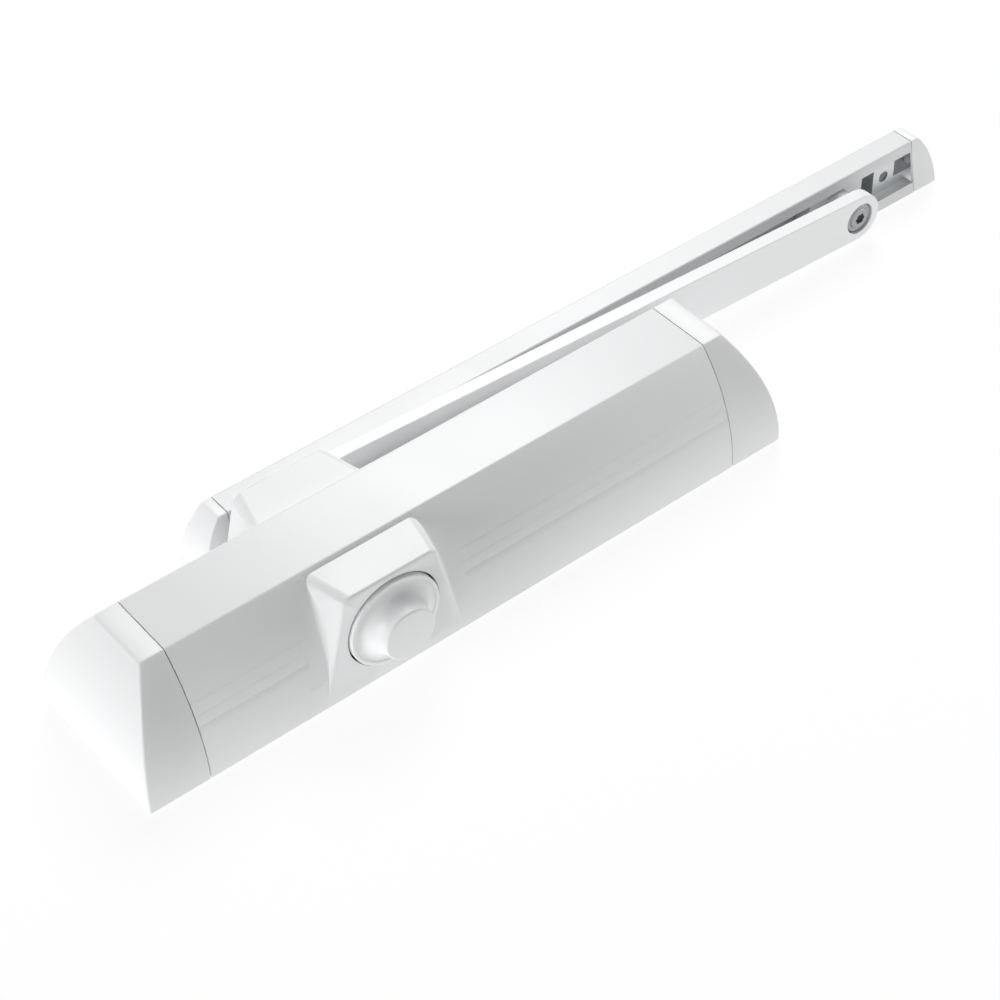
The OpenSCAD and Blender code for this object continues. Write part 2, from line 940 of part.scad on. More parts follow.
// A rail cap for the right end; its tongue in the channel carries it.
module rail_cap() {
    end = rail_right + rail_cap_length;
    tongue_y = pivot_y - channel_width / 2 + slide_play;
    tongue_z = channel_z + rail_tongue_inset;
    tongue_height = channel_height - 2 * rail_tongue_inset;
    difference() {
        rail_cap_shape(rail_right + seam, end, 0);
        rail_cap_shape(rail_right, end, rail_cap_wall);
    }
    translate([rail_right - rail_tongue, tongue_y, tongue_z])
        cube([rail_tongue + rail_tongue_wall, rail_tongue_wall, tongue_height]);
    translate([rail_right + seam, -rail_depth + rail_cap_wall / 2, tongue_z])
        cube([
            rail_tongue_wall - seam,
            tongue_y + rail_tongue_wall + rail_depth - rail_cap_wall / 2,
            tongue_height,
        ]);
}

module rail_cap_shape(from, end, wall) {
    translate([0, 0, rail_z])
        intersection() {
            along_x(from, rail_cap_length)
                rail_section(wall);
            translate([end - rail_cap_radius, 0, -rail_back_height])
                cylinder(r = rail_cap_radius - wall, h = 2 * rail_back_height);
        }
}

module right_rail_cap() {
    color(white)
        rail_cap();
}

module mirrored_rail() {
    middle = (rail_left + rail_right) / 2;
    translate([middle, 0, 0])
        mirror([1, 0, 0])
            translate([-middle, 0, 0])
                children();
}

module left_rail_cap() {
    color(white)
        mirrored_rail()
            rail_cap();
}

// A fixing block: its body clamps in the channel and its tongue is screwed to the wall behind the cap.
module fixing_block() {
    body_x = rail_right - fixing_block_in - fixing_block_length;
    back = pivot_y + channel_width / 2 - slide_play;
    width = channel_width - 2 * slide_play;
    height = channel_height - slide_play;
    difference() {
        union() {
            translate([body_x, back - width, channel_z])
                cube([fixing_block_length, width, height]);
            translate([body_x, back - block_tongue, channel_z])
                cube([rail_right - body_x + block_tongue_reach, block_tongue, height]);
            translate([rail_right + face_gap, back - block_tongue, channel_z])
                cube([block_tongue_reach - face_gap, block_tongue - back, height]);
        }
        translate([rail_right + rail_hole_out, -rail_depth, channel_z + channel_height / 2])
            rotate([-90, 0, 0])
                cylinder(r = rail_hole_radius, h = 2 * rail_depth);
        translate([body_x + fixing_block_length / 2, pivot_y, channel_z - over])
            cylinder(r = set_screw_radius, h = channel_height + 2 * over);
    }
}

module rail_fixing_blocks() {
    color(bright) {
        fixing_block();
        mirrored_rail()
            fixing_block();
    }
}

module rail_set_screws() {
    screw_x = rail_right - fixing_block_in - fixing_block_length / 2;
    color("gray")
        for (x = [screw_x, rail_left + rail_right - screw_x])
            translate([x, pivot_y, channel_z + set_screw_lift])
                difference() {
                    cylinder(r = set_screw_radius, h = channel_height - set_screw_lift);
                    translate([0, 0, -over])
                        cylinder(r = set_screw_key, h = set_screw_key_depth + over, $fn = 6);
                }
}

housing();
cover();
left_end_cap();
right_end_cap();
upper_cowl();
lower_cowl();
spindle_cap();
upper_gland();
lower_gland();
spindle_bearings();
spindle_seals();
left_end_plug();
right_end_plug();
plug_seals();
spindle();
cam();
arm();
arm_screw();
closing_piston();
closing_roller();
closing_roller_pin();
damping_piston();
damping_roller();
damping_roller_pin();
closing_spring();
damping_spring();
spring_plate();
adjusting_screw();
closing_valve();
latching_valve();
backcheck_valve();
slide_block();
pivot_bush();
pivot_screw();
guide_rail();
left_rail_cap();
right_rail_cap();
rail_fixing_blocks();
rail_set_screws();
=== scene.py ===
import math

import bmesh
import bpy
from mathutils import Matrix, Vector
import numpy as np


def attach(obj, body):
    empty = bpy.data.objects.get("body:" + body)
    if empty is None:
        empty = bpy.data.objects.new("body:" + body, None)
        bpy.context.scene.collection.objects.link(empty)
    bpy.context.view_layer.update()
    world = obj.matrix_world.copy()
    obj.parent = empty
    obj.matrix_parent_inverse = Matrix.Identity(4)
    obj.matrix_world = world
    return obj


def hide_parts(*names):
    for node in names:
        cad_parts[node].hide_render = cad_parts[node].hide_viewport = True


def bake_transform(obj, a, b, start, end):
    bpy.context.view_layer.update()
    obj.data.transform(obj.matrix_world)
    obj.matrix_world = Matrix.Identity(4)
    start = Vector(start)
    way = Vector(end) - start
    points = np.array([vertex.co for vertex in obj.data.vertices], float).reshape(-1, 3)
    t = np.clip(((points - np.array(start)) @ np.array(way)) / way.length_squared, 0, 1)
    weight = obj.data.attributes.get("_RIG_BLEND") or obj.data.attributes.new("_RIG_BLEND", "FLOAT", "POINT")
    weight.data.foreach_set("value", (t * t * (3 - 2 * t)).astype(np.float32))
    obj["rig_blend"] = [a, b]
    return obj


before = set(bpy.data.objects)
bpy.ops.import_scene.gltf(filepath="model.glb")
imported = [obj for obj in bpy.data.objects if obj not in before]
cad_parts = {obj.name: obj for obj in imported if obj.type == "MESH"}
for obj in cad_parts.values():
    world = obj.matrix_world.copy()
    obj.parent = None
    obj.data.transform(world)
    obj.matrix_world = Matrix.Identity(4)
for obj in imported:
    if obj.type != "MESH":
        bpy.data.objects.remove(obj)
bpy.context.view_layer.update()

# The modelling below is in millimetres. MM turns a length into Blender's metres.
MM = 0.001

# Handwork: points closer than DOUBLED are one, edges over SHARP degrees are sharp, and a rounded corner has so many
# parts. A cutting tool reaches PAST what it cuts.
DOUBLED = 0.002
SHARP = 25
CORNER_PARTS = 5
PAST = 1

# Spindle, and the closer's cover with its seams.
SPINDLE = Vector((-39.5, -24, 0))
HALF_COVER = 116.25
COVER_WALL = 1.8
DEPTH = 47
HALF_HEIGHT = 32.5
FLANK = 68.0216
FLANK_CENTRE = HALF_HEIGHT - FLANK
FRONT_CORNER = 1.1
SEAM = 0.35
FLAT_STRIP = 0.4
INNER_CORNER = 0.3
HOOK_Y = -1.4
HOOK_Z = 28.63
# Extrusion lines along the flanks: place, width of the wall that faces forward, and depth.
FLANK_LINES = ((-21.3, 0.62, 0.19), (-25.4, 0.4, 0.08), (-29.8, 0.45, 0.1))
LINE_LIP = 0.06

# End caps. The skirt slips into the cover.
CAP_BOW = 82
CAP_BOW_X = 58.5
CAP_LENGTH = 30
CAP_WALL = 2.4
CAP_EDGE = 0.9
SKIRT_REACH = 4
SKIRT_LENGTH = 6
SKIRT_WALL = 1.25
SKIRT_BACK = -7

# Cowls. The flare fills the inner corner along the flank.
COWL_FRONT = 19
COWL_BACK = 30
COWL_FLARE = 5
COWL_FACE = 45.6
COWL_BASE = 12.5
COWL_WALL = 2
COWL_HOLE = 19.2
COWL_CORNER = 3.2
COWL_EDGE = 0.9
FLARE_WIDTH = 3
FLARE_START = 3.4
FLARE_HALF = 38
SKIN_HALF = 42
LIP = 0.06

# Round cap, with heights measured down from the middle.
CAP_RIM = 33.7
CAP_TOP = 42
CAP_BACK = 29.7
CAP_RADIUS = 18.5
CAP_SKIRT = 16.7
CAP_SKIRT_PARTS = 32
CAP_HOLLOW = 8.6
CAP_SPIGOT = 9.4
CAP_FLOOR = 1.8
KNOB_RADIUS = 10.4
KNOB_EDGE = 0.8

# Arm.
ARM_Z = 33.5
ARM_THICK = 6
ARM_LENGTH = 287
ARM_HUB = 12
ARM_TIP = 10.6
ARM_EDGE = 0.55
HUB_DISC_RADIUS = 16.5
HUB_DISC_LOW = 29.3
HUB_SQUARE = 10
SCREW_SINK = 7.5
PIVOT_SINK = 6.9
BUSH_HOLE = 4.55
ARM_ANGLE = math.asin((24 - 11.7) / ARM_LENGTH)
PIVOT = Vector((247.2363, -11.7, 0))

# Guide rail and its caps.
RAIL_LEFT = -53.2637
RAIL_RIGHT = 288.7363
RAIL_DEPTH = 23.4
RAIL_Z = 52
RAIL_BACK = 9.7
RAIL_FRONT = 5.3
RAIL_EDGE = 0.9
CHANNEL_Z = 47.6
CHANNEL_HEIGHT = 8.5
CHANNEL_FRONT = -20.45
CHANNEL_BACK = -2.95
SLOT_FRONT = -18.7
SLOT_BACK = -4.7
RAIL_CAP_LENGTH = 13.3
RAIL_CAP_BOW = 35
RAIL_CAP_WALL = 1.3

# Coils: the spring's and the wire's radius, the rise of a turn, and the number of turns.
CLOSING_COIL = (14, 2.5, 8, 5)
DAMPING_COIL = (11.5, 1, 3.5, 4)
COIL_PARTS = 24
WIRE_PARTS = 12


# ---------------------------------------------------------------- handwork

def only(obj):
    """Makes obj the one selected and active object."""
    bpy.ops.object.select_all(action="DESELECT")
    obj.select_set(True)
    bpy.context.view_layer.objects.active = obj


def edit(obj):
    """Opens obj in edit mode, with all of it selected."""
    only(obj)
    bpy.ops.object.mode_set(mode="EDIT")
    bpy.ops.mesh.select_mode(type="VERT")
    bpy.ops.mesh.select_all(action="SELECT")


def leave():
    """Goes back to object mode."""
    bpy.ops.object.mode_set(mode="OBJECT")


def started(name):
    """Names the primitive that was just added, and puts its place and turn into its mesh."""
    obj = bpy.context.active_object
    obj.name = name
    obj.data.name = name
    only(obj)
    bpy.ops.object.transform_apply(location=True, rotation=True, scale=True)
    return obj


def pick(obj, where):
    """In edit mode, selects the points whose place, in millimetres, passes a test."""
    bpy.ops.mesh.select_all(action="DESELECT")
    mesh = bmesh.from_edit_mesh(obj.data)
    for vert in mesh.verts:
        vert.select_set(where(vert.co / MM))
    bmesh.update_edit_mesh(obj.data)


def pick_sharp(obj):
    """In edit mode, selects the sharp edges, and returns the mesh that holds them."""
    bpy.ops.mesh.select_mode(type="EDGE")
    bpy.ops.mesh.select_all(action="DESELECT")
    bpy.ops.mesh.edges_select_sharp(sharpness=math.radians(SHARP))
    return bmesh.from_edit_mesh(obj.data)


def middle_of(edge):
    """The middle of an edge, in millimetres."""
    return (edge.verts[0].co + edge.verts[1].co) / 2 / MM


def apply(obj, modifier):
    """Applies a modifier to its object."""
    only(obj)
    bpy.ops.object.modifier_apply(modifier=modifier.name)


def corner_steps(corners):
    """Turns corners, each a point and a radius, into a start and the steps that follow it, as in draw."""
    start = None
    steps = []
    for i, (point, radius) in enumerate(corners):
        point = Vector(point)
        if not radius:
            tangents = [point]
        else:
            before = (Vector(corners[i - 1][0]) - point).normalized()
            after = (Vector(corners[(i + 1) % len(corners)][0]) - point).normalized()
            half = before.angle(after) / 2
            reach = radius / math.tan(half)
            centre = point + (before + after).normalized() * (radius / math.sin(half))
            tangents = [point + before * reach, (centre, point + after * reach, CORNER_PARTS)]
        if start is None:
            start = tangents.pop(0)
        steps += tangents
    return start, steps


def draw(name, start, steps, filled=True):
    """Draws a flat outline from a point. A step is a line's end, or an arc's centre, end and number of parts."""
    bpy.ops.object.select_all(action="DESELECT")
    bpy.ops.mesh.primitive_plane_add(size=MM, location=Vector(start) * MM)
    obj = started(name)
    edit(obj)
    bpy.ops.mesh.merge(type="CENTER")
    here = Vector(start)
    for step in steps:
        if isinstance(step, tuple):
            centre, end, count = step
            arm, goal = here - centre, end - centre
            axis = arm.cross(goal).normalized()
            bpy.ops.mesh.spin(steps=count, angle=-arm.angle(goal), center=centre * MM, axis=axis)
        else:
            end = step
            bpy.ops.mesh.extrude_region_move(TRANSFORM_OT_translate={"value": (end - here) * MM})
        here = end
    bpy.ops.mesh.select_all(action="SELECT")
    bpy.ops.mesh.remove_doubles(threshold=DOUBLED * MM)
    if filled:
        bpy.ops.mesh.edge_face_add()
    leave()
    return obj


def outwards(obj):
    """Merges doubled points and turns every face outwards."""
    edit(obj)
    bpy.ops.mesh.remove_doubles(threshold=DOUBLED * MM)
    bpy.ops.mesh.normals_make_consistent(inside=False)
    leave()


def drawn_out(name, start, steps, move):
    """A solid: an outline drawn out along a move."""
    obj = draw(name, start, steps)
    edit(obj)
    bpy.ops.mesh.extrude_region_move(TRANSFORM_OT_translate={"value": Vector(move) * MM})
    leave()
    outwards(obj)
    return obj


def turned(name, centre, start, steps, count=96):
    """A solid turned about an upright axis from an open profile that starts and ends on it."""
    obj = draw(name, start, steps, filled=False)
    edit(obj)
    bpy.ops.mesh.spin(steps=count, angle=2 * math.pi, center=centre * MM, axis=(0, 0, 1))
    leave()
    outwards(obj)
    return obj


def round_bar(name, foot, radius, length, sides=96):
    """An upright round bar from its foot, to cut or join with."""
    bpy.ops.object.select_all(action="DESELECT")
    bpy.ops.mesh.primitive_cylinder_add(
        vertices=sides,
        radius=radius * MM,
        depth=length * MM,
        location=(Vector(foot) + Vector((0, 0, length / 2))) * MM,
    )
    return started(name)


def combine(obj, tool, how):
    """Cuts, joins or keeps what is common with a tool, which is then gone."""
    modifier = obj.modifiers.new("tool", "BOOLEAN")
    modifier.operation = how
    modifier.solver = "EXACT"
    modifier.object = tool
    apply(obj, modifier)
    bpy.data.objects.remove(tool, do_unlink=True)
    return obj


def round_over(obj, width, segments, where):
    """Rounds the sharp edges whose middle, in millimetres, passes a test."""
    edit(obj)
    mesh = pick_sharp(obj)
    for edge in mesh.edges:
        if edge.select and not where(middle_of(edge)):
            edge.select_set(False)
    bmesh.update_edit_mesh(obj.data)
    bpy.ops.mesh.bevel(offset=width * MM, segments=segments, profile=0.5, affect="EDGES")
    leave()


def gather(obj, reach, where):
    """Merges points of a rim that lie close together, so that a rounding over it stays even."""
    edit(obj)
    pick(obj, where)
    bpy.ops.mesh.remove_doubles(threshold=reach * MM)
    leave()


def smooth(obj, degrees=28, flat_sided=False):
    """Shades a finished piece smooth up to an angle. A flat-sided one keeps its large faces flat."""
    only(obj)
    bpy.ops.object.shade_smooth_by_angle(angle=math.radians(degrees))
    if flat_sided:
        modifier = obj.modifiers.new("flats", "WEIGHTED_NORMAL")
        modifier.keep_sharp = True
        apply(obj, modifier)


def copy_of(obj, name):
    """A copy with its own mesh."""
    only(obj)
    bpy.ops.object.duplicate()
    twin = bpy.context.active_object
    twin.name = name
    twin.data.name = name
    return twin


def mirrored(obj, name, flip, about=(0, 0, 0)):
    """A copy mirrored about a point, along the axis where flip is -1."""
    twin = copy_of(obj, name)
    edit(twin)
    bpy.ops.transform.resize(value=flip, center_override=Vector(about) * MM)
    bpy.ops.mesh.normals_make_consistent(inside=False)
    leave()
    return twin


def join(obj, other):
    """Joins two pieces of one moulding into one object."""
    only(obj)
    other.select_set(True)
    bpy.ops.object.join()


# ---------------------------------------------------------------- closer

def flank_z(y, inset=0):
    """How high the bowed flank stands at a depth y, or a layer that lies inset below it."""
    return FLANK_CENTRE + math.sqrt((FLANK - inset) ** 2 - y ** 2)


def loaf_outline(x, inset, corner, behind=0, grooves=()):
    """The closer's section at x, from the top back edge round the front to the bottom back edge."""
    front = -(DEPTH - inset)
    radius = FLANK - inset
    corner_y = front + corner
    corner_z = FLANK_CENTRE + math.sqrt((radius - corner) ** 2 - corner_y ** 2)
    touch = Vector((0, corner_y, corner_z - FLANK_CENTRE)) * (radius / (radius - corner))
    top = Vector((x, 0, FLANK_CENTRE))
    start = Vector((x, 0, flank_z(0, inset)))
    steps = []
    for y, width, deep in grooves:
        steps.append((top, Vector((x, y, flank_z(y, inset))), 8))
        steps.append(Vector((x, y - width, flank_z(y - width, inset) - deep)))
        steps.append(Vector((x, y - width - LINE_LIP, flank_z(y - width - LINE_LIP, inset))))
    arc_parts = 10 if grooves else 30
    steps.append((top, Vector((x, touch.y, touch.z + FLANK_CENTRE)), arc_parts))
    steps.append((Vector((x, corner_y, corner_z)), Vector((x, front, corner_z)), CORNER_PARTS))
    steps.append(Vector((x, front, corner_z - FLAT_STRIP)))
    # The lower half goes back over the upper one's steps, mirrored.
    ends = [start] + [step[1] if isinstance(step, tuple) else step for step in steps]
    below = []
    for step, end in zip(reversed(steps), reversed(ends[:-1])):
        goal = Vector((x, end.y, -end.z))
        if isinstance(step, tuple):
            below.append((Vector((x, step[0].y, -step[0].z)), goal, step[2]))
        else:
            below.append(goal)
    steps += [Vector((x, front, -corner_z))] + below
    if behind:
        steps += [Vector((x, behind, -start.z)), Vector((x, behind, start.z))]
    return start, steps


def cowl_footprint(reach, front, behind, z):
    """The outline round a cowl's foot, which is wider towards the door."""
    near, far = COWL_FRONT + reach, COWL_BACK + reach
    corners = [(near, front), (far, behind), (-far, behind)]
    return (SPINDLE.x - near, front, z), [Vector((SPINDLE.x + x, y, z)) for x, y in corners]


def cowl_form(name, grow, behind):
    """The outside of a cowl, or its inside for a negative grow."""
    outline = cowl_footprint(COWL_FLARE + grow, -(COWL_FACE + grow), behind, COWL_BASE)
    obj = drawn_out(name, *outline, (0, 0, HALF_HEIGHT + grow - COWL_BASE))
    edit(obj)
    for side in (-1, 1):
        pick(obj, lambda p: p.z > COWL_BASE + 1 and (p.x - SPINDLE.x) * side > 0)
        bpy.ops.transform.translate(value=(-side * COWL_FLARE * MM, 0, 0))
    leave()
    return obj


def make_cover():
    """The extruded cover: a bowed shell with hooks along its back edges and an opening for each cowl."""
    x = -HALF_COVER
    start, outer = loaf_outline(x, 0, FRONT_CORNER, grooves=FLANK_LINES)
    _, inner = loaf_outline(x, COVER_WALL, 0.4)
    upper_arc, corner_arc = inner[0], inner[1]
    lower_end, lower_arc = inner[-2][1], inner[-1]
    inner_top = flank_z(HOOK_Y, COVER_WALL)
    inner_front = -(DEPTH - COVER_WALL)
    back = [
        Vector((x, 0, -HOOK_Z)),
        Vector((x, HOOK_Y, -HOOK_Z)),
        Vector((x, HOOK_Y, -inner_top)),
        (lower_arc[0], lower_end, 24),
        Vector((x, inner_front, -corner_arc[1].z)),
        Vector((x, inner_front, corner_arc[1].z)),
        upper_arc[1],
        (upper_arc[0], Vector((x, HOOK_Y, inner_top)), 24),
        Vector((x, HOOK_Y, HOOK_Z)),
        Vector((x, 0, HOOK_Z)),
    ]
    cover = drawn_out("cover_extrusion", start, outer + back, (2 * HALF_COVER, 0, 0))
    upper_room = cowl_form("upper_cowl_room", SEAM, PAST)
    lower_room = mirrored(upper_room, "lower_cowl_room", (1, 1, -1))
    combine(cover, upper_room, "DIFFERENCE")
    combine(cover, lower_room, "DIFFERENCE")
    round_over(cover, 0.22, 2, lambda p: abs(abs(p.x) - HALF_COVER) < 0.01)
    smooth(cover)
    return cover


def make_end_cap():
    """The right end cap: a bowed moulding, hollow at the back, with a skirt inside the cover."""
    x = HALF_COVER + SEAM
    length = (CAP_LENGTH, 0, 0)
    bow_foot, bow_height = (CAP_BOW_X, 0, -60), 120
    cap = drawn_out("right_cap_moulding", *loaf_outline(x, 0, FRONT_CORNER), length)
    combine(cap, round_bar("bow", bow_foot, CAP_BOW, bow_height, sides=240), "INTERSECT")
    gather(cap, 0.4, lambda p: p.x > x + 0.5 and -DEPTH + 2 < p.y < -0.3)
    round_over(cap, CAP_EDGE, 4, lambda p: p.x > x + 0.5 and p.y < -0.3)
    hollow = drawn_out("hollow", *loaf_outline(x - 2 * PAST, CAP_WALL, INNER_CORNER, behind=PAST), length)
    combine(hollow, round_bar("bow", bow_foot, CAP_BOW - CAP_WALL, bow_height, sides=360), "INTERSECT")
    combine(cap, hollow, "DIFFERENCE")
    round_over(cap, 0.2, 2, lambda p: abs(p.x - x) < 0.01 and abs(p.y) > 0.2)
    skirt_x, skirt_inset = HALF_COVER - SKIRT_REACH, COVER_WALL + SEAM
    skirt = drawn_out("skirt", *loaf_outline(skirt_x, skirt_inset, INNER_CORNER), (SKIRT_LENGTH, 0, 0))
    room_outline = loaf_outline(skirt_x - 2 * PAST, skirt_inset + SKIRT_WALL, INNER_CORNER, behind=PAST)
    combine(skirt, drawn_out("room", *room_outline, (2 * SKIRT_LENGTH, 0, 0)), "DIFFERENCE")
    edit(skirt)
    bpy.ops.mesh.bisect(
        plane_co=(0, SKIRT_BACK * MM, 0), plane_no=(0, 1, 0), use_fill=True, clear_outer=True, threshold=0.001 * MM
    )
    leave()
    outwards(skirt)
    join(cap, skirt)
    smooth(cap)
    return cap


def flare(cowl):
    """Fills the inner corner where a cowl's sides meet the flank, by less towards the front and the back."""
    edit(cowl)
    mesh = pick_sharp(cowl)
    layers = mesh.edges.layers.float
    weight = layers.get("bevel_weight_edge") or layers.new("bevel_weight_edge")
    for edge in mesh.edges:
        middle = middle_of(edge)
        from_front = middle.y + COWL_FACE - FLARE_START
        from_top = HALF_HEIGHT - middle.z - 1
        on_flank = all(abs(v.co.z / MM - flank_z(v.co.y / MM, -LIP)) < 0.02 for v in edge.verts)
        if edge.select and on_flank and from_front > 0 and middle.y < -1 and abs(middle.x - SPINDLE.x) < FLARE_HALF:
            wide = min(FLARE_WIDTH, 0.3 * from_front, 0.45 * from_top)
            edge[weight] = max(0, wide) / FLARE_WIDTH
    bmesh.update_edit_mesh(cowl.data)
    leave()
    modifier = cowl.modifiers.new("flare", "BEVEL")
    modifier.width = FLARE_WIDTH * MM
    modifier.segments = 6
    modifier.limit_method = "WEIGHT"
    modifier.use_clamp_overlap = False
    apply(cowl, modifier)


def make_cowl():
    """The upper cowl: a hollow shroud with slanted sides that flare out over the flank, and a round opening."""
    cowl = cowl_form("upper_cowl_moulding", 0, 0)
    round_over(cowl, COWL_CORNER, 8, lambda p: COWL_BASE + 1 < p.z < HALF_HEIGHT - 1 and p.y < -40)
    round_over(cowl, COWL_EDGE, 4, lambda p: p.z > HALF_HEIGHT - 0.05 and p.y < -0.5)
    x = SPINDLE.x - SKIN_HALF
    combine(cowl, drawn_out("skin", *loaf_outline(x, -LIP, FRONT_CORNER), (2 * SKIN_HALF, 0, 0)), "UNION")
    flare(cowl)
    # The flare's outer limit on the flank.
    limit = cowl_footprint(COWL_FLARE + 3.3, -COWL_FACE - 0.28, PAST, 5)
    combine(cowl, drawn_out("limit", *limit, (0, 0, 40)), "INTERSECT")
    combine(cowl, round_bar("opening", (SPINDLE.x, SPINDLE.y, 20), COWL_HOLE, 20, sides=144), "DIFFERENCE")
    combine(cowl, cowl_form("inside", -COWL_WALL, PAST), "DIFFERENCE")
    bed = drawn_out("bed", *loaf_outline(x - 10, COVER_WALL, INNER_CORNER, behind=PAST), (104, 0, 0))
    combine(cowl, bed, "DIFFERENCE")
    cover = drawn_out("cover", *loaf_outline(x - 8, 0, FRONT_CORNER, behind=PAST), (100, 0, 0))
    combine(cover, cowl_form("room", SEAM / 2, 2 * PAST), "DIFFERENCE")
    combine(cowl, cover, "DIFFERENCE")

    def on_opening(p):
        return abs(math.hypot(p.x - SPINDLE.x, p.y - SPINDLE.y) - COWL_HOLE) < 0.1

    round_over(cowl, 0.15, 2, lambda p: on_opening(p) and p.z > HALF_HEIGHT - 0.1)
    smooth(cowl, flat_sided=True)
    return cowl


def make_round_cap():
    """The round cap: a rim, a swept skirt and a raised knob, hollow behind, turned about the spindle."""

    def at(radius, z):
        return SPINDLE + Vector((radius, 0, z))

    inside = -CAP_TOP + CAP_FLOOR
    side = -CAP_TOP + KNOB_EDGE
    foot = -CAP_RIM + 0.5
    skirt = []
    for i in range(1, CAP_SKIRT_PARTS + 1):
        turn = math.radians(90 - 90 * i / CAP_SKIRT_PARTS)
        inwards, down = math.cos(turn), 1 - math.sin(turn)
        skirt.append(at(CAP_SKIRT + (KNOB_RADIUS - CAP_SKIRT) * inwards, foot + (side - foot) * down))
    profile = [
        at(CAP_HOLLOW, inside),
        at(CAP_HOLLOW, -CAP_BACK - 0.6),
        at(CAP_SPIGOT, -CAP_BACK - 0.6),
        at(CAP_SPIGOT, -CAP_BACK),
        at(CAP_RADIUS, -CAP_BACK),
        at(CAP_RADIUS, foot),
        (at(CAP_RADIUS - 0.5, foot), at(CAP_RADIUS - 0.5, -CAP_RIM), 4),
        at(CAP_SKIRT + 0.6, -CAP_RIM),
        (at(CAP_SKIRT + 0.6, -CAP_RIM + 0.3), at(CAP_SKIRT + 0.3, -CAP_RIM + 0.3), 4),
        at(CAP_SKIRT + 0.25, foot),
        at(CAP_SKIRT, foot),
        *skirt,
        (at(KNOB_RADIUS - KNOB_EDGE, side), at(KNOB_RADIUS - KNOB_EDGE, -CAP_TOP), 6),
        at(0, -CAP_TOP),
    ]
    cap = turned("spindle_button", SPINDLE, at(0, inside), profile, 120)
    smooth(cap, 35)
    return cap


# ---------------------------------------------------------------- arm and block

def arm_point(along, across, z):
    """A place on the arm, given along it from the spindle and across it."""
    turn = Matrix.Rotation(ARM_ANGLE, 3, "Z")
    return SPINDLE + turn @ Vector((along, across, 0)) + Vector((0, 0, z))


def make_arm():
    """The flat arm with its hub, the screw's counterbores and the bush's hole."""
    lean = math.acos((ARM_HUB - ARM_TIP) / ARM_LENGTH)
    c, s = math.cos(lean), math.sin(lean)
    hub, tip = arm_point(0, 0, ARM_Z), arm_point(ARM_LENGTH, 0, ARM_Z)
    path = [
        (hub, arm_point(-ARM_HUB, 0, ARM_Z), 20),
        (hub, arm_point(ARM_HUB * c, -ARM_HUB * s, ARM_Z), 20),
        arm_point(ARM_LENGTH + ARM_TIP * c, -ARM_TIP * s, ARM_Z),
        (tip, arm_point(ARM_LENGTH + ARM_TIP, 0, ARM_Z), 20),
        (tip, arm_point(ARM_LENGTH + ARM_TIP * c, ARM_TIP * s, ARM_Z), 20),
    ]
    arm = drawn_out("arm_bar", arm_point(ARM_HUB * c, ARM_HUB * s, ARM_Z), path, (0, 0, ARM_THICK))
    round_over(arm, ARM_EDGE, 3, lambda p: True)
    disc = round_bar("hub_disc", (SPINDLE.x, SPINDLE.y, HUB_DISC_LOW), HUB_DISC_RADIUS, 5.2, sides=128)
    round_over(disc, 0.5, 3, lambda p: p.z < HUB_DISC_LOW + 0.7)
    combine(arm, disc, "UNION")
    below_tip = tip - Vector((0, 0, PAST))
    combine(arm, round_bar("pivot_sink", below_tip, PIVOT_SINK, 3.7), "DIFFERENCE")
    combine(arm, round_bar("bush_hole", below_tip, BUSH_HOLE, 12), "DIFFERENCE")
    combine(arm, round_bar("screw_sink", (SPINDLE.x, SPINDLE.y, 37.5), SCREW_SINK, 6), "DIFFERENCE")
    square = round_bar("square", (0, 0, 20), HUB_SQUARE / math.sqrt(2), 30, sides=4)
    edit(square)
    bpy.ops.transform.rotate(value=-(math.pi / 4 + ARM_ANGLE), orient_axis="Z", center_override=(0, 0, 0))
    bpy.ops.transform.translate(value=(SPINDLE.x * MM, SPINDLE.y * MM, 0))
    leave()
    combine(arm, square, "DIFFERENCE")

    def on_sink(p):
        return abs((p - tip).xy.length - PIVOT_SINK) < 0.1

    round_over(arm, 0.25, 2, lambda p: on_sink(p) and p.z < ARM_Z + 0.1)
    smooth(arm, flat_sided=True)
    return arm


def make_pivot_screw():
    """The pivot screw under the arm: a flanged head with a six-lobed socket, and its shank."""

    def at(radius, z):
        return Vector((PIVOT.x + radius, PIVOT.y, z))

    low, top = ARM_Z, 51.6
    head, flange, shank = 4.6, 6.4, 3
    profile = [
        at(head - 0.5, low),
        (at(head - 0.5, low + 0.5), at(head, low + 0.5), 4),
        at(head + 0.15, low + 0.75),
        at(flange - 0.5, low + 0.75),
        (at(flange - 0.5, low + 1.25), at(flange, low + 1.25), 4),
        at(flange, low + 2.4),
        at(shank, low + 2.4),
        at(shank, top - 0.3),
        at(shank - 0.3, top),
        at(0, top),
    ]
    screw = turned("pivot_screw_head", Vector((PIVOT.x, PIVOT.y, 0)), at(0, low), profile)
    lobes = []
    for lobe in range(12):
        turn = math.radians(30 * lobe)
        reach = 1.95 if lobe % 2 else 2.8
        lobes.append((at(0, low - PAST) + Vector((reach * math.cos(turn), reach * math.sin(turn), 0)), 0.55))
    combine(screw, drawn_out("key", *corner_steps(lobes), (0, 0, 3.6)), "DIFFERENCE")
    smooth(screw)
    return screw


